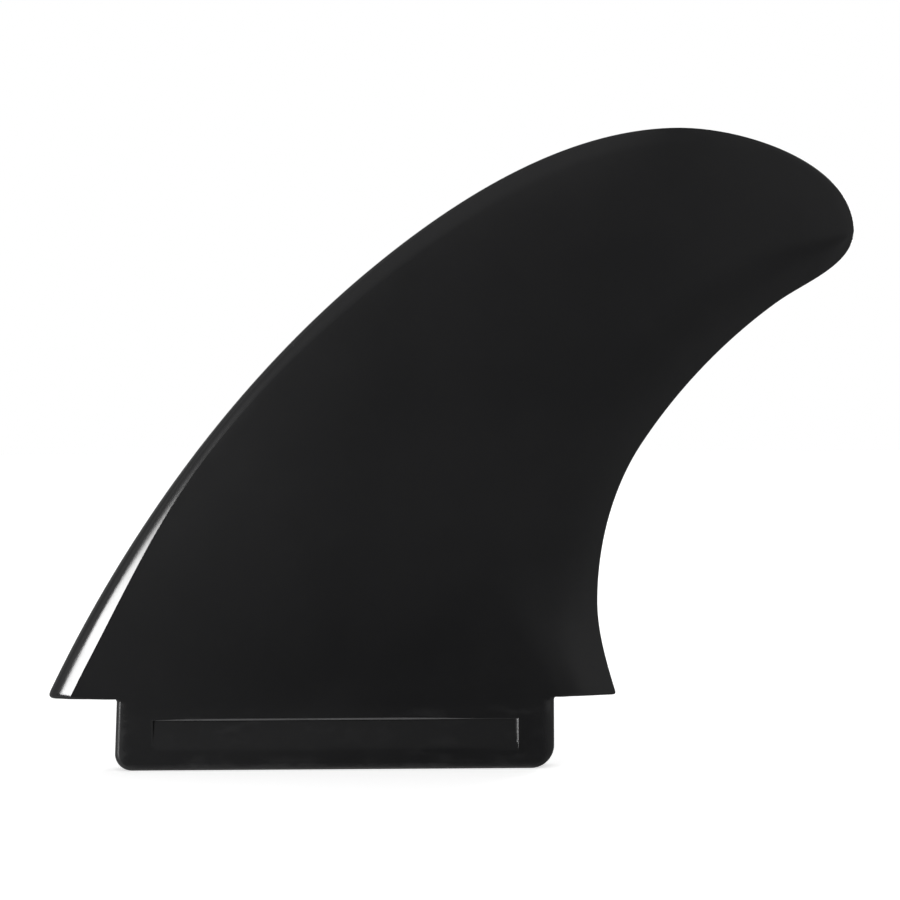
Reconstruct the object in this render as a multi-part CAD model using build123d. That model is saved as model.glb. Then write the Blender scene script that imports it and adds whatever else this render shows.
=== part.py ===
from build123d import *
import math
import os

# Surfboard fin with one long tab, moulded in one piece of hard plastic.
# Millimetres. X runs from the leading edge to the trailing edge, Z up along the blade.
# The origin is on the plane where the blade meets the board, in the middle of the tab.

# Tab
TAB_LENGTH = 105.0
TAB_DEPTH = 17.2
TAB_THICKNESS = 8.0
TAB_SETBACK = 16.8        # from the blade's front corner back to the tab
TAB_CORNER = 5.0          # lower corners, seen from the side
TAB_EDGE = 1.6            # rounding of the tab's long edges
ROOT_FILLET = 1.2         # under the blade, ahead of and behind the tab

# Ramped recess in each face of the tab
RECESS_LENGTH = 88.0
RECESS_HEIGHT = 6.9
RECESS_DROP = 5.5         # below the board plane
RECESS_DEPTH = 1.0        # at its upper lip
LIP_RADIUS = 0.6

# Blade outline, seen from the side
BASE_LENGTH = 137.0
TIP_BACK = 194.5          # rearmost point, from the front corner
TIP_HEIGHT = 111.5
CROWN_BACK = 152.5
CROWN_HEIGHT = 136.3
WAIST_BACK = 132.5        # narrowest point of the trailing edge
WAIST_HEIGHT = 24.5
RAKE = 64.5               # heading of the leading edge at the base, degrees from the board
REAR_HEADING = 109.5      # the same for the trailing edge
FOOT_CORNER = 1.0         # corners where either edge meets the board
HANDLE = 0.33             # how far each curve keeps its heading, as a share of its gap

# Foil
BASE_THICKNESS = TAB_THICKNESS
TIP_THICKNESS = 3.4
TRAILING_THICKNESS = 1.0
TIP_FADE = 14.0           # how far ahead of the tip the foil starts thinning to the blunt edge
NOSE = 4.7                # length of the rounded nose along a rib
CREASE = 13.0             # degrees between nose and face at the base
CREASE_ENDS = 0.36        # share of the way to the tip
BELLY = 0.40              # how much of its thickness the face loses forwards, above the base
TAPER_AT_BASE = 15.0      # thinning towards the trailing edge, along a rib
TAPER_ABOVE = 0.30        # the same above the base, as a share of the rib
FULLNESS = 0.60           # how rounded that taper is: 0 would be hollow, 1 stays full to the end
RIBS = 22
LAST_RIB = 0.992          # share of the way to the tip, where the blunt edge carries on round

FRONT = -(TAB_SETBACK + TAB_LENGTH / 2)


def blend(low, high, share):
    """Eases from low to high as share goes from 0 to 1."""
    s = min(max(share, 0.0), 1.0)
    return low + (high - low) * s * s * (3 - 2 * s)


def smaller(a, b):
    """The smaller of two lengths, easing from one to the other."""
    return a * b / (a ** 4 + b ** 4) ** 0.25


# Outline

def run_of_curves(stations):
    """Joins stations of (back, height, heading in degrees) with smooth curves."""
    edges = []
    for start, end in zip(stations, stations[1:]):
        a = Vector(FRONT + start[0], 0, start[1])
        b = Vector(FRONT + end[0], 0, end[1])
        reach = HANDLE * (b - a).length
        leave = Vector(math.cos(math.radians(start[2])), 0, math.sin(math.radians(start[2])))
        arrive = Vector(math.cos(math.radians(end[2])), 0, math.sin(math.radians(end[2])))
        edges.append(Bezier(a, a + leave * reach, b - arrive * reach, b))
    return Wire(edges)


def leading_edge():
    return run_of_curves([
        (0, 0, RAKE),
        (74.0, 99.5, 41),
        (CROWN_BACK, CROWN_HEIGHT, 0),
        (TIP_BACK, TIP_HEIGHT, -90),
    ])


def trailing_edge():
    return run_of_curves([
        (BASE_LENGTH, 0, REAR_HEADING),
        (WAIST_BACK, WAIST_HEIGHT, 90),
        (144.0, 62.0, 56.5),
        (173.5, 92.5, 39),
        (TIP_BACK, TIP_HEIGHT, 90),
    ])


# Blade

def rib(lead, trail, share, tip):
    """One closed section of the foil, from the leading edge to the trailing edge."""
    front = lead.position_at(share * lead.length, position_mode=PositionMode.LENGTH)
    rear = trail.position_at(share * trail.length, position_mode=PositionMode.LENGTH)
    chord = (rear - front).length
    along = (rear - front).normalized()

    # half thickness, thinning to the blunt edge's where the ribs run out at the tip
    end = TRAILING_THICKNESS / 2
    to_tip = ((front + rear) * 0.5 - tip).length
    nearness = max(0.0, 1 - to_tip / TIP_FADE)
    full = blend(BASE_THICKNESS, TIP_THICKNESS, share) / 2
    half = end + (full - end) * math.sqrt(1 - nearness ** 2)

    upwards = share / CREASE_ENDS
    nose = smaller(NOSE, chord * 0.12)
    taper = blend(TAPER_AT_BASE, TAPER_ABOVE * chord, upwards)
    shoulder = half * (1 - blend(0, BELLY, upwards))
    swell = end + FULLNESS * (half - end)
    slope = (half - shoulder) / (3 * nose)
    crease = math.tan(math.radians(blend(CREASE, 0, upwards)))
    bow = shoulder / 2 - (slope + crease) * nose / 3

    def half_section(sign):
        """Nose, face and taper of one side, each as a curve's control points."""
        def at(back, side):
            return front + along * back + Vector(0, sign * side, 0)

        ridge = chord - taper
        return [
            [at(0, 0), at(0, bow), at(nose / 3, 2 * bow), at(nose, shoulder)],
            [at(nose, shoulder), at(nose * 4, half), at(ridge - taper / 3, half), at(ridge, half)],
            [at(ridge, half), at(ridge + taper / 3, half), at(chord - taper / 3, swell), at(chord, end)],
        ]

    near = half_section(-1)
    far = [points[::-1] for points in reversed(half_section(1))]
    curves = [Bezier(*points) for points in near + far]
    blunt_end = Line(near[-1][-1], far[0][0])
    return Wire(curves[:3] + [blunt_end] + curves[3:])


def blade():
    """Foiled blade, lofted through ribs that fan out from the base to the tip."""
    lead = leading_edge()
    trail = trailing_edge()
    tip = Vector(FRONT + TIP_BACK, 0, TIP_HEIGHT)
    shares = [LAST_RIB * (1 - (1 - i / RIBS) ** 1.6) for i in range(RIBS + 1)]
    return loft([Face(rib(lead, trail, share, tip)) for share in shares])


# Tab

def tab():
    """Flat tongue that fills the slot in the board, flush with the blade's faces."""
    half = TAB_LENGTH / 2
    wide = half + ROOT_FILLET / 2
    drop = ROOT_FILLET * math.sin(math.radians(60))
    bulge = half + ROOT_FILLET * (1 - math.cos(math.radians(30)))
    side = make_face(Plane.XZ * Wire([
        Line((-wide, 0), (wide, 0)),
        ThreePointArc((wide, 0), (bulge, ROOT_FILLET / 2 - drop), (half, -drop)),
        Line((half, -drop), (half, -TAB_DEPTH)),
        Line((half, -TAB_DEPTH), (-half, -TAB_DEPTH)),
        Line((-half, -TAB_DEPTH), (-half, -drop)),
        ThreePointArc((-half, -drop), (-bulge, ROOT_FILLET / 2 - drop), (-wide, 0)),
    ]))
    plate = extrude(side, TAB_THICKNESS / 2, both=True)
    plate = fillet(plate.edges().filter_by(Axis.Y).group_by(Axis.Z)[0], TAB_CORNER)
    on_a_face = plate.edges().filter_by(lambda e: abs(e.center().Y) > TAB_THICKNESS / 2 - 0.01)
    return fillet(on_a_face.filter_by(lambda e: e.center().Z < -0.01), TAB_EDGE)


def recess(sign):
    """Ramp cut into one face of the tab: deep under its upper lip, running out below."""
    face = sign * TAB_THICKNESS / 2
    floor = face - sign * RECESS_DEPTH
    steepness = RECESS_HEIGHT / RECESS_DEPTH
    profile = make_face(Plane.YZ * Polyline(
        (floor, -RECESS_DROP),
        (face + sign, -RECESS_DROP),
        (face + sign, -RECESS_DROP - RECESS_HEIGHT - steepness),
        close=True,
    ))
    return extrude(profile, RECESS_LENGTH / 2, both=True)


def round_lips(body):
    """Softens the upper lip of each recess."""
    lips = body.edges().filter_by(Axis.X).filter_by(
        lambda e: abs(e.center().Z + RECESS_DROP) < 0.01 and abs(e.center().Y) > TAB_THICKNESS / 2 - 0.01
    )
    return fillet(lips, LIP_RADIUS)


# Corners of the blade's foot

def foot_corner(back, heading):
    """Sliver outside a rounded corner, seen from the side, at one end of the blade's foot."""
    corner = Vector(FRONT + back, 0, 0)
    inner = 1 if heading < 90 else -1
    angle = math.radians(heading if heading < 90 else 180 - heading)
    reach = FOOT_CORNER / math.tan(angle / 2)
    on_foot = corner + Vector(inner * reach, 0, 0)
    on_edge = corner + Vector(math.cos(math.radians(heading)), 0, math.sin(math.radians(heading))) * reach
    centre = on_foot + Vector(0, 0, FOOT_CORNER)
    middle = centre + (corner - centre).normalized() * FOOT_CORNER
    past = corner + (corner - centre) * 1.0
    sliver = make_face(Wire([
        Line(on_foot, on_foot - Vector(0, 0, 2)),
        Line(on_foot - Vector(0, 0, 2), past - Vector(0, 0, 2)),
        Line(past - Vector(0, 0, 2), on_edge - Vector(inner * 3, 0, 0)),
        Line(on_edge - Vector(inner * 3, 0, 0), on_edge),
        ThreePointArc(on_edge, middle, on_foot),
    ]))
    return extrude(sliver, BASE_THICKNESS, both=True, dir=(0, 1, 0))


def fin():
    """The whole fin, one solid."""
    foil = blade() - foot_corner(0, RAKE) - foot_corner(BASE_LENGTH, REAR_HEADING)
    body = foil + tab() - recess(-1) - recess(1)
    return round_lips(body)


if __name__ == "__main__":
    os.makedirs("parts", exist_ok=True)
    export_step(fin(), "parts/fin.step")
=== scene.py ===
import bpy
import math
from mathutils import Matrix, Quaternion, Vector
from mathutils.geometry import interpolate_bezier


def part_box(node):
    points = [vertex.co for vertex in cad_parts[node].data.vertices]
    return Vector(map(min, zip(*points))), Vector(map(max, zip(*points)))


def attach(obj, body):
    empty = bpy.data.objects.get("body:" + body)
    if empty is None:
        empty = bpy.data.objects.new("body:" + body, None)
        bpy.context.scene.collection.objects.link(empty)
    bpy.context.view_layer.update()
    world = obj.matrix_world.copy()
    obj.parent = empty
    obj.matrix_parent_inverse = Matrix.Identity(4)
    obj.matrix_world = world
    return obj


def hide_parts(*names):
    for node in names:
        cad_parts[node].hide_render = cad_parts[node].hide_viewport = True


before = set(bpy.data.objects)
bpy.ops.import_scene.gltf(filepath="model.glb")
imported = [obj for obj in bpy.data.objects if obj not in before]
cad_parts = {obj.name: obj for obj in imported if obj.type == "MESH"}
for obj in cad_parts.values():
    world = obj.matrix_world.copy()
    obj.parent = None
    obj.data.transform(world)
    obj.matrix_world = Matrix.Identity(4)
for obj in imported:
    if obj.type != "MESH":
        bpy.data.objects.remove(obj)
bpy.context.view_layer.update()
MM = 0.001


# The blade is the foil that stands in the water, injection-moulded in hard plastic. A rounded nose
# runs along its leading edge, its faces are broad and full, and it thins to a blunt trailing edge.
# Its skin is drawn as rings, one rib above the other, from the board up to the tip.
low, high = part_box("fin")
FRONT = -69.3 * MM              # where the leading edge meets the board
LEADING_STATIONS = [(0, 0, 64.5), (77.7, 102.2, 39.5), (152.5, 136.3, 0), (194.5, 111.5, -90)]
TRAILING_STATIONS = [
    (137.0, 0, 106.7), (132.5, 22.4, 90), (143.1, 60.2, 56.5), (176.1, 94.4, 35.4), (194.5, 111.5, 90),
]
HANDLE = 0.33                   # how far each curve keeps its heading, as a share of its gap
LINE_POINTS = 400               # between two stations
BLADE_THICKNESS = high.y - low.y
TIP_THICKNESS = 3.4 * MM
TIP_FADE = 14.0 * MM            # how far ahead of the tip the foil starts thinning to the blunt edge
EDGE_THICKNESS = 1.0 * MM       # the blunt trailing edge
EDGE_ROUNDING = 0.3 * MM
# the rounded nose, whose width changes twice on the way from the board (0) to the tip (1)
NOSE_AT_BASE, NOSE_ABOVE, NOSE_HIGH = 5.9 * MM, 3.1 * MM, 5.0 * MM
NARROWS_FROM, NARROWS_OVER = 0.04, 0.215
WIDENS_FROM, WIDENS_OVER = 0.28, 0.3
NOSE_LIMIT = 0.12               # the most that it takes of a rib
NOSE_BLUNTNESS = 0.62
NOSE_FACET, FACET_ABOVE = 0.62, 0.50    # share of the nose that leads flat into the crease
FACET_CHANGES = 0.15            # share of the way to the tip where the second holds
CREASE = 15.0                   # degrees between nose and face at the base
CREASE_ENDS = 0.36              # share of the way to the tip
BELLY = 0.40                    # how much of its thickness the face loses forwards, above the base
TAPER_AT_BASE = 15.0 * MM       # thinning towards the trailing edge, along a rib
TAPER_ABOVE = 0.30              # the same above the base, as a share of the rib
FULLNESS = 0.60                 # how rounded that taper is: 0 would be hollow, 1 stays full to the end
RIBS = 100
FIRST_RIB, LAST_RIB = 0.0075, 0.9985    # shares of the way to the tip
RIB_CROWDING = 1.35             # above 1, the ribs stand closer towards the tip
NOSE_STEPS, FACE_STEPS, TAPER_STEPS, ROUND_STEPS = 14, 26, 14, 3


def edge_line(stations):
    """The stations (back, height, heading) joined by smooth curves, as closely spaced points."""
    line = []
    for (x0, z0, turn0), (x1, z1, turn1) in zip(stations, stations[1:]):
        a = Vector((FRONT + x0 * MM, 0, z0 * MM))
        b = Vector((FRONT + x1 * MM, 0, z1 * MM))
        reach = HANDLE * (b - a).length
        leave = Vector((math.cos(math.radians(turn0)), 0, math.sin(math.radians(turn0))))
        arrive = Vector((math.cos(math.radians(turn1)), 0, math.sin(math.radians(turn1))))
        line += interpolate_bezier(a, a + leave * reach, b - arrive * reach, b, LINE_POINTS)[1 if line else 0:]
    return line


def along_line(line, share):
    """The point at a share of the line's length."""
    lengths = [(b - a).length for a, b in zip(line, line[1:])]
    left = share * sum(lengths)
    for a, b, length in zip(line, line[1:], lengths):
        if left <= length:
            return a.lerp(b, left / length)
        left -= length
    return line[-1]


def ease(start, end, share):
    """From start to end as share goes from 0 to 1, gently at both ends."""
    s = min(max(share, 0.0), 1.0)
    return start + (end - start) * s * s * (3 - 2 * s)


def rib_points(front, rear, share, tip):
    """The section between two points of the edges, round from the trailing edge's near side."""
    chord = (rear - front).length
    back = (rear - front).normalized()
    end = EDGE_THICKNESS / 2
    nearness = max(0.0, 1 - ((front + rear) / 2 - tip).length / TIP_FADE)
    full = ease(BLADE_THICKNESS, TIP_THICKNESS, share) / 2
    half = end + (full - end) * math.sqrt(max(0.0, 1 - nearness ** 2))
    upwards = share / CREASE_ENDS
    wanted = ease(NOSE_AT_BASE, NOSE_ABOVE, (share - NARROWS_FROM) / NARROWS_OVER)
    wanted += ease(0, NOSE_HIGH - NOSE_ABOVE, (share - WIDENS_FROM) / WIDENS_OVER)
    limit = chord * NOSE_LIMIT
    nose = wanted * limit / (wanted ** 4 + limit ** 4) ** 0.25
    taper = ease(TAPER_AT_BASE, TAPER_ABOVE * chord, upwards)
    shoulder = half * (1 - ease(0, BELLY, upwards))
    swell = end + FULLNESS * (half - end)
    slope = (half - shoulder) / (3 * nose)
    crease = math.tan(math.radians(ease(CREASE, 0, upwards)))
    facet = ease(NOSE_FACET, FACET_ABOVE, share / FACET_CHANGES) * nose
    ridge = chord - taper

    def curve(points, steps):
        knots = [Vector((x, y, 0)) for x, y in points]
        return [(p.x, p.y) for p in interpolate_bezier(*knots, steps + 1)]

    into_crease = (nose - facet, shoulder - facet * (slope + crease))
    half_section = curve([(0, 0), (0, NOSE_BLUNTNESS * shoulder), into_crease, (nose, shoulder)], NOSE_STEPS)[:-1]
    face = [(nose, shoulder), (nose * 4, half), (ridge - taper / 3, half), (ridge, half)]
    half_section += curve(face, FACE_STEPS)[:-1]
    thinning = [(ridge, half), (ridge + taper / 3, half), (chord - taper / 3, swell), (chord - EDGE_ROUNDING, end)]
    half_section += curve(thinning, TAPER_STEPS)[:-1]
    for step in range(ROUND_STEPS + 1):
        turn = math.pi / 2 * step / ROUND_STEPS
        along, out = EDGE_ROUNDING * math.sin(turn), EDGE_ROUNDING * math.cos(turn)
        half_section.append((chord - EDGE_ROUNDING + along, end - EDGE_ROUNDING + out))
    near = [front + back * x + Vector((0, -y, 0)) for x, y in half_section]
    far = [front + back * x + Vector((0, y, 0)) for x, y in half_section]
    return near[::-1] + far[1:]


leading, trailing = edge_line(LEADING_STATIONS), edge_line(TRAILING_STATIONS)
tip = leading[-1]
shares = [FIRST_RIB + (LAST_RIB - FIRST_RIB) * (1 - (1 - i / RIBS) ** RIB_CROWDING) for i in range(RIBS + 1)]
base = rib_points(leading[0], trailing[0], 0, tip)
ribs = [rib_points(along_line(leading, q), along_line(trailing, q), q, tip) for q in shares]

# the underside's rim is rounded, more at its two ends and not at all over the tab
RIM = 0.6 * MM
RIM_LIMIT = 0.4                 # share of the half thickness, where the blade is thin
TOE, HEEL = 1.6 * MM, 0.8 * MM
RIM_CHANGES = 12 * MM           # how far in from toe and heel the rim's own radius holds
CORNER_REACH = 3                # radii over which toe and heel curve in
TAB_LENGTH = 105.0 * MM
TAB_MARGIN = 2 * MM
RIM_STEPS = 5
rim_rows = []
for step in range(RIM_STEPS):
    turn = math.pi / 2 * step / RIM_STEPS
    inset = 1 - math.sin(turn)
    row = []
    for here, above in zip(base, ribs[0]):
        to_front, to_rear = here.x - FRONT, base[0].x - here.x
        radius = ease(TOE if to_front < to_rear else HEEL, RIM, min(to_front, to_rear) / RIM_CHANGES)
        beyond_tab = ease(0, 1, (abs(here.x) - TAB_LENGTH / 2 - TAB_MARGIN) / TAB_MARGIN)
        place = here.lerp(above, radius * (1 - math.cos(turn)) / above.z)
        front_pull = TOE * max(0, 1 - to_front / (CORNER_REACH * TOE)) ** 2
        rear_pull = HEEL * max(0, 1 - to_rear / (CORNER_REACH * HEEL)) ** 2
        place.x += inset * (front_pull - rear_pull)
        place.y -= math.copysign(min(radius, RIM_LIMIT * abs(here.y)) * inset * beyond_tab, here.y)
        row.append(place)
    rim_rows.append(row)


def skinned(name, rings):
    """A closed block drawn as a face and extruded from ring to ring of points, to its last face."""
    bpy.ops.object.select_all(action="DESELECT")
    bpy.ops.mesh.primitive_circle_add(vertices=len(rings[0]), radius=1 * MM, fill_type="NGON")
    block = bpy.context.object
    block.name = name
    bpy.context.tool_settings.mesh_select_mode = (True, False, False)
    bpy.ops.object.mode_set(mode="EDIT")
    for ring in rings[1:]:
        bpy.ops.mesh.extrude_region_move(TRANSFORM_OT_translate={"value": (0, 0, 1 * MM)})
    bpy.ops.object.mode_set(mode="OBJECT")
    for vertex, place in zip(block.data.vertices, [p for ring in rings for p in ring]):
        vertex.co = place
    bpy.ops.object.mode_set(mode="EDIT")
    bpy.ops.mesh.select_all(action="SELECT")
    bpy.ops.mesh.normals_make_consistent(inside=False)
    bpy.ops.object.mode_set(mode="OBJECT")
    return block


fin = skinned("moulded_fin", rim_rows + ribs)


# The tab is the flat tongue below the blade that fills the slot in the board. It is moulded in
# one with the blade and flush with its faces. Each side has a ramped recess for the clamping
# screws, deep under its rounded upper lip and running out below.
FRONT_CORNER, REAR_CORNER, CORNER_STEPS = 4.2 * MM, 5.6 * MM, 14
FRONT_LEAN = 0.040              # how much further forward the front edge is at the bottom, per depth
TAB_EDGE, TAB_EDGE_STEPS = 1.25 * MM, 7
ROOT_FILLET, FILLET_STEPS = 0.9 * MM, 8
FLANGE = 3 * MM                 # cut off again above the underside of the blade
RECESS_END = 44.0 * MM          # from the middle
RECESS_DROP = 5.5 * MM
RECESS_HEIGHT = 7.2 * MM
RECESS_DEPTH = 1.0 * MM
RAMP_STEPS, RAMP_BOW = 6, 1.1
# the softened edges, as moves of (degrees out of the face, millimetres)
LIP = [(8, 0.06), (20, 0.06), (32, 0.08), (37, 0.55), (46, 0.08), (58, 0.06), (68, 0.50)]
# the lip is sharper towards its ends: (millimetres along the tab, share)
LIP_SHARES = [(-53, 0.08), (-43, 0.08), (-35, 1), (-8, 1), (17, 1), (24, 0.75), (29, 0.4), (34, 0.08), (53, 0.08)]
# the recess's two ends, as such moves
FRONT_EDGE = [(8, 0.05), (16, 0.06), (22.5, 0.34), (32, 0.06), (46, 0.08), (62, 0.08), (74, 1.2)]
REAR_EDGE = [(8, 0.05), (16, 0.06), (22.5, 0.42), (32, 0.06), (46, 0.08), (62, 0.08), (82, 1.16)]
face_y = high.y


def pick_edges(obj, test):
    """Selects the edges of obj whose two ends pass the test, in edit mode."""
    bpy.ops.object.select_all(action="DESELECT")
    bpy.context.view_layer.objects.active = obj
    obj.select_set(True)
    bpy.context.tool_settings.mesh_select_mode = (False, True, False)
    bpy.ops.object.mode_set(mode="EDIT")
    bpy.ops.mesh.select_all(action="DESELECT")
    bpy.ops.object.mode_set(mode="OBJECT")
    places = [vertex.co for vertex in obj.data.vertices]
    for edge in obj.data.edges:
        edge.select = test(places[edge.vertices[0]], places[edge.vertices[1]])
    bpy.ops.object.mode_set(mode="EDIT")


def combine(obj, other, operation):
    """Cuts, crosses or joins obj with the other object, which is used up."""
    bpy.ops.object.select_all(action="DESELECT")
    bpy.context.view_layer.objects.active = obj
    obj.select_set(True)
    boolean = obj.modifiers.new("combine", "BOOLEAN")
    boolean.operation = operation
    boolean.solver = "EXACT"
    boolean.object = other
    bpy.ops.object.modifier_apply(modifier="combine")
    bpy.data.objects.remove(other)


def arc(centre_a, centre_b, radius, start, end, steps):
    """Pairs of coordinates round an arc, in degrees."""
    turns = [math.radians(start + (end - start) * i / steps) for i in range(steps + 1)]
    return [(centre_a + radius * math.cos(t), centre_b + radius * math.sin(t)) for t in turns]


half_tab = TAB_LENGTH / 2


def tab_end(corner, lean):
    """Outline of one end of the tab, from the flange round the root fillet and the lower corner."""
    end = [(half_tab + 3 * FLANGE, FLANGE)]
    fillet_z = -ROOT_FILLET * math.sin(math.radians(60))
    end += arc(half_tab + ROOT_FILLET, fillet_z, ROOT_FILLET, 90, 180, FILLET_STEPS)
    end += arc(half_tab - corner, low.z + corner, corner, 0, -90, CORNER_STEPS)
    return [(x - lean * (z - low.z / 2), z) for x, z in end]


tab_outline = tab_end(REAR_CORNER, 0) + [(-x, z) for x, z in reversed(tab_end(FRONT_CORNER, FRONT_LEAN))]
tongue = skinned("tongue", [[Vector((x, y, z)) for x, z in tab_outline] for y in (-face_y, face_y)])
pick_edges(tongue, lambda a, b: abs(a.y - b.y) < 1e-6 and max(a.z, b.z) < FLANGE / 2)
bpy.ops.mesh.bevel(offset=TAB_EDGE, segments=TAB_EDGE_STEPS, affect="EDGES", clamp_overlap=False)
bpy.ops.mesh.select_all(action="SELECT")
bpy.ops.mesh.bisect(plane_co=(0, 0, 0), plane_no=(0, 0, 1), use_fill=True, clear_outer=True, threshold=1e-7)
bpy.ops.object.mode_set(mode="OBJECT")


def softened(moves):
    """Where the moves lead, as pairs of how far along the face and how deep."""
    along = depth = 0
    places = []
    for slope, length in moves:
        along += length * MM * math.cos(math.radians(slope))
        depth += length * MM * math.sin(math.radians(slope))
        places.append((along, depth))
    return places


def ramp_section(x, side, lip_share):
    """The ramp's profile at one place along the tab, where its lip is softened by a share."""
    lip = [(along * lip_share, depth * lip_share) for along, depth in softened(LIP)]
    wall = (softened(LIP)[-1][0] - lip[-1][0]) / 2 - RECESS_DROP
    top, bottom = wall + lip[-1][0], -RECESS_DROP - RECESS_HEIGHT
    section = [(-MM, top), (0, top)] + [(depth, top - along) for along, depth in lip]
    for step in range(RAMP_STEPS + 1):
        down = step / RAMP_STEPS
        section.append((RECESS_DEPTH * (1 - down) ** RAMP_BOW, wall + (bottom - wall) * down))
    section.append((-MM, -RECESS_DROP - 2 * RECESS_HEIGHT))
    return [Vector((x, side * (face_y - depth), z)) for depth, z in section]


# each recess is cut by a bar with softened ends, crossed with the ramp's profile
bar_outline = [(RECESS_END, -MM), (RECESS_END, 0)]
bar_outline += [(RECESS_END - along, depth) for along, depth in softened(REAR_EDGE)]
bar_outline += [(along - RECESS_END, depth) for along, depth in reversed(softened(FRONT_EDGE))]
bar_outline += [(-RECESS_END, 0), (-RECESS_END, -MM)]
BAR_STEP = 0.6 * MM
bar_heights = [0] + [-RECESS_DROP + MM - BAR_STEP * i for i in range(16)] + [low.z]
for side in (-1, 1):
    bar = skinned("bar", [[Vector((x, side * (face_y - depth), z)) for x, depth in bar_outline] for z in bar_heights])
    ramp = skinned("ramp", [ramp_section(x * MM, side, share) for x, share in LIP_SHARES])
    combine(bar, ramp, "INTERSECT")
    combine(tongue, bar, "DIFFERENCE")

SAME_PLACE = 0.002 * MM         # points that lie closer than this are one
combine(fin, tongue, "UNION")
bpy.ops.object.mode_set(mode="EDIT")
bpy.ops.mesh.select_all(action="SELECT")
bpy.ops.mesh.remove_doubles(threshold=SAME_PLACE)
bpy.ops.mesh.dissolve_degenerate(threshold=SAME_PLACE)
bpy.ops.object.mode_set(mode="OBJECT")
bpy.ops.object.shade_smooth_by_angle(angle=math.radians(28))

# the crease between nose and face stays crisp
CREASED_RINGS = 60
near_side = len(base) // 2 - NOSE_STEPS
creased = [ring[i] for ring in (rim_rows + ribs)[:CREASED_RINGS] for i in (near_side, -1 - near_side)]
on_crease = {tuple(round(c, 7) for c in point) for point in creased}
pick_edges(fin, lambda a, b: all(tuple(round(c, 7) for c in p) in on_crease for p in (a, b)))
bpy.ops.mesh.mark_sharp()
bpy.ops.object.mode_set(mode="OBJECT")
fin.modifiers.new("even shading", "WEIGHTED_NORMAL").keep_sharp = True
bpy.ops.object.modifier_apply(modifier="even shading")
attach(fin, "root")
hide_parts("fin")


# The whole fin is one glossy, nearly black plastic. The polished mould gives it its gloss and the
# faintest ripple. Handling leaves hair scratches, and the slot in the board dulls the tab.
BLACK, BLACKER = (0.0066, 0.0066, 0.0070, 1), (0.0050, 0.0051, 0.0055, 1)
SCUFFED = (0.017, 0.017, 0.0175, 1)
GLOSS = 0.155                   # roughness of the polished faces


class Shade:
    """A socket of a node tree that adds, subtracts and multiplies like a number."""

    def __init__(self, tree, socket=None):
        self.tree, self.socket = tree, socket

    def node(self, kind, inputs=(), output=0, **settings):
        """Adds a node with its settings and inputs, and returns one of its outputs."""
        made = self.tree.nodes.new("ShaderNode" + kind)
        for name, value in settings.items():
            setattr(made, name, value)
        for name, value in dict(inputs).items():
            if isinstance(value, Shade):
                self.tree.links.new(value.socket, made.inputs[name])
            else:
                made.inputs[name].default_value = value
        return Shade(self.tree, made.outputs[output])

    def maths(self, operation, first, second):
        return self.node("Math", {0: first, 1: second}, operation=operation)

    def __add__(self, other):
        return self.maths("ADD", self, other)

    def __sub__(self, other):
        return self.maths("SUBTRACT", self, other)

    def __rsub__(self, other):
        return self.maths("SUBTRACT", other, self)

    def __mul__(self, other):
        return self.maths("MULTIPLY", self, other)

    __radd__, __rmul__ = __add__, __mul__

    def rise(self, start, end):
        """0 up to start, easing to 1 at end; the other way round where end is the smaller."""
        return self.node("MapRange", {0: self, 1: start, 2: end}, interpolation_type="SMOOTHSTEP")

    def blend(self, colour, other):
        """Mixes two colours by this share."""
        return self.node("Mix", {0: self, 6: colour, 7: other}, output=2, data_type="RGBA")


plastic = bpy.data.materials.new("black_moulded_plastic")
plastic.use_nodes = True
tree = plastic.node_tree
shader = tree.nodes["Principled BSDF"]
place = Shade(tree).node("TexCoord", output="Object")
split = place.node("SeparateXYZ", {0: place}).socket.node
x, y, z = (Shade(tree, socket) for socket in split.outputs)


def noise(scale, detail=2.0, roughness=0.5, stretch=(1, 1, 1), turn=(0, 0, 0)):
    """Noise of about one feature a metre over scale, stretched and turned in place."""
    laid = place.node("Mapping", {"Vector": place, "Rotation": turn, "Scale": stretch})
    return laid.node("TexNoise", {"Vector": laid, "Scale": scale, "Detail": detail, "Roughness": roughness})


# where the slot rubs the tab: all of it a little, its lower rim and its ends the most
on_tab = z.rise(-1.0 * MM, -3.5 * MM)
at_ends = x.node("Math", {0: x}, operation="ABSOLUTE").rise(half_tab - 3.5 * MM, half_tab - 0.3 * MM)
at_rim = z.rise(low.z + 2.0 * MM, low.z + 0.3 * MM)
patchy = noise(420, 3).rise(0.45, 0.75)
worn = at_ends.maths("MAXIMUM", at_ends, at_rim) * z.rise(-0.2 * MM, -1.2 * MM)
rubbed = worn * patchy

HAIR_FINENESS = 60000           # how narrow the scratches are


def hairs(scale, stretch, slant, broken):
    """A run of long hair scratches: the thin lines where stretched noise is even, broken up."""
    lines = noise(scale, 1, stretch=stretch, turn=(0, math.radians(slant), 0)) - 0.5
    return (1 - (lines * lines * HAIR_FINENESS).rise(0, 1)) * noise(broken, 1).rise(0.52, 0.72)


scratched = hairs(60, (1, 1, 30), 24, 38) + hairs(50, (36, 1, 1), -38, 30)

clouds = noise(22, 3, 0.55)
tone = clouds.rise(0.35, 0.65).blend(BLACKER, BLACK)
marks = on_tab * noise(210, 4, 0.6, stretch=(0.5, 1, 1)).rise(0.50, 0.68)
tone = (rubbed * 0.5 + marks * 0.14).blend(tone, SCUFFED)
smudges = noise(60, 4, 0.6).rise(0.35, 0.75)
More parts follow.
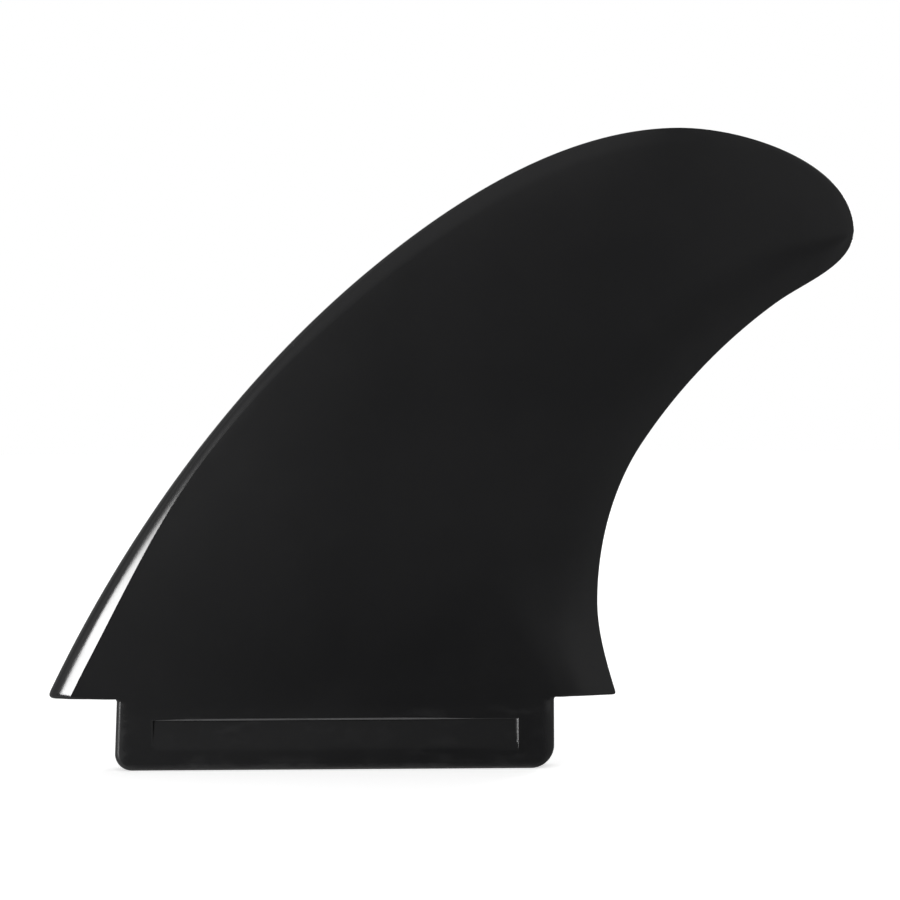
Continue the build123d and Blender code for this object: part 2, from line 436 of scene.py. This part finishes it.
# what each adds to the roughness and, in millimetres, to the relief
gloss = GLOSS + smudges * 0.03 + on_tab * 0.02 + marks * 0.06 + worn * 0.20 + rubbed * 0.10 + scratched * 0.02
peel = noise(850, 1)
ripple = noise(70, 1)
parting = 1 - y.node("Math", {0: y}, operation="ABSOLUTE").rise(0.05 * MM, 0.14 * MM)
height = peel * 0.0009 + ripple * 0.010 + parting * 0.05 - scratched * 0.0006 - rubbed * noise(2600, 2) * 0.006
bump = height.node("Bump", {"Height": height, "Strength": 1.0, "Distance": 1 * MM})
for name, value in {"Base Color": tone, "Roughness": gloss, "Normal": bump}.items():
    tree.links.new(value.socket, shader.inputs[name])
shader.inputs["IOR"].default_value = 1.5
fin.data.materials.clear()
fin.data.materials.append(plastic)


# The fin stands on a white table top, which the photograph shows as plain white. The table gives
# no mirror image in the gloss, so the surroundings below it are what the plastic reflects.
floor_z = low.z
bpy.ops.object.select_all(action="DESELECT")
bpy.ops.mesh.primitive_plane_add(size=8, location=(0, 0, floor_z))
floor = bpy.context.object
floor.name = "table_top"
floor.visible_glossy = False
table_top = bpy.data.materials.new("white_table_top")
table_top.use_nodes = True
surface = table_top.node_tree.nodes["Principled BSDF"]
surface.inputs["Base Color"].default_value = (0.8, 0.8, 0.8, 1)
surface.inputs["Roughness"].default_value = 0.9
surface.inputs["Emission Strength"].default_value = 1
DARK, WHITENING = (0, 0, 0, 1), (0.55, 0.55, 0.55, 1)   # added to its light where the camera sees it
seen = Shade(table_top.node_tree).node("LightPath", output="Is Camera Ray").blend(DARK, WHITENING)
table_top.node_tree.links.new(seen.socket, surface.inputs["Emission Color"])
floor.data.materials.append(table_top)


# The studio round it is plain: white behind the fin, an even grey light from everywhere, and in the
# gloss of the plastic the dim walls, lighter above and to the sides than where the camera stands.
AMBIENT, CEILING = 0.28, 1.0
world = bpy.data.worlds.new("studio")
bpy.context.scene.world = world
world.use_nodes = True
tree = world.node_tree
direction = Shade(tree).node("TexCoord", output="Generated")
split = direction.node("SeparateXYZ", {0: direction}).socket.node
east, north, up = (Shade(tree, socket) for socket in split.outputs)
across = north.node("Math", {0: north}, operation="ABSOLUTE")
bearing = east.node("Math", {0: east, 1: across}, operation="ARCTAN2") * (180 / math.pi)
altitude = up.node("Math", {0: up}, operation="ARCSINE") * (180 / math.pi)

WALLS = 0.16                    # how light the walls are in the gloss
# areas that are lighter than the rest by the last number: left, right, bottom and top in degrees
# right and up from where the viewer stands, and the softness of their edges, in degrees too
AREAS = [
    (-70, 6, 13.8, 88, 2.2, 0.27),      # above, at the left
    (10, 110, 2, 60, 3, 0.12),          # above, at the right
    (12, 110, -50, -9, 3, 0.08),        # below, at the right
    (30, 110, -12, 3, 8, 0.14),         # level, at the right
    (26, 110, -60, 60, 4, 0.08),        # far right
    (-110, -9, -40, 12, 3, 0.06),       # level and below, at the left
    (-12, -6, -14, 6, 2.5, 0.09),       # beside the camera
    (-130, -56, -22, 60, 6, 0.30),      # far left
    (-60, 12, -100, -48, 6, 0.06),      # the ground in front
    (-80, -15, -58, -24, 7, 0.6),       # low at the left, which lights the tab's lower rim
    (-14, 9, -30, -3, 4, -0.04),        # the camera's dark stand
    (-2.5, 3, -10, -5, 1.6, -0.12),     # the camera
    (-75, 45, -100, -77, 3, 1.6),       # straight below, which lights the lip of the recess
    (-11, -4, 0, 9, 2, 0.07),           # above the camera, at the left
]


def area_light(left, right, bottom, top, edge, strength):
    """The light of one area, 0 outside its soft edges."""
    across = bearing.rise(left - edge, left + edge) * bearing.rise(right + edge, right - edge)
    return across * altitude.rise(bottom - edge, bottom + edge) * altitude.rise(top + edge, top - edge) * strength


walls = sum((area_light(*area) for area in AREAS), start=WALLS)
in_gloss = direction.node("LightPath", output="Is Glossy Ray")
by_camera = direction.node("LightPath", output="Is Camera Ray")
light = in_gloss * walls + (1 - in_gloss) * (AMBIENT + altitude.rise(30, 75) * CEILING)
tree.nodes["Background"].inputs["Color"].default_value = (1, 1, 1, 1)
tree.links.new((by_camera + (1 - by_camera) * light).socket, tree.nodes["Background"].inputs["Strength"])


# Two softboxes: the one at the left draws the bright strip down the nose, and a dimmer one stands
# behind the fin, on the other side.
LAMP_DISTANCE = 1.5


def facing(turn, climb):
    """The direction that is turned right from the viewer's side and raised, in degrees."""
    turn, climb = math.radians(turn), math.radians(climb)
    return Vector((math.sin(turn) * math.cos(climb), -math.cos(turn) * math.cos(climb), math.sin(climb)))


def softbox(name, turn, climb, width, height, radiance):
    """A rectangular lamp that faces the fin."""
    lamp = bpy.data.lights.new(name, "AREA")
    lamp.shape = "RECTANGLE"
    lamp.size, lamp.size_y = width, height
    lamp.energy = radiance * math.pi * width * height
    stand = bpy.data.objects.new(name, lamp)
    stand.location = (low + high) / 2 + facing(turn, climb) * LAMP_DISTANCE
    stand.rotation_euler = facing(turn, climb).to_track_quat("Z", "Y").to_euler()
    bpy.context.scene.collection.objects.link(stand)


softbox("left_softbox", turn=-40, climb=1.8, width=0.45, height=0.58, radiance=28)
softbox("back_softbox", turn=145, climb=10, width=0.5, height=0.6, radiance=9)


# The camera stands half a metre away, almost square on to the near face, and aims at the middle
# of the fin. Its angle and the focal length of its lens are those of the photograph.
AIM = Vector((27.85, 0, 59.13)) * MM
DISTANCE = 500 * MM
TURN, CLIMB, ROLL = -0.711, 1.0, -0.262
FOCAL = 2079.07                 # in pixels of a picture 900 pixels wide
camera = bpy.data.objects.new("camera", bpy.data.cameras.new("camera"))
camera.data.sensor_width = 36
camera.data.lens = 36 * FOCAL / 900
camera.data.clip_start, camera.data.clip_end = 0.01, 50
camera.location = AIM + facing(TURN, CLIMB) * DISTANCE
camera.rotation_mode = "QUATERNION"
camera.rotation_quaternion = facing(TURN, CLIMB).to_track_quat("Z", "Y") @ Quaternion((0, 0, 1), math.radians(ROLL))
bpy.context.scene.collection.objects.link(camera)
bpy.context.scene.camera = camera
bpy.context.scene.view_settings.view_transform = "Standard"
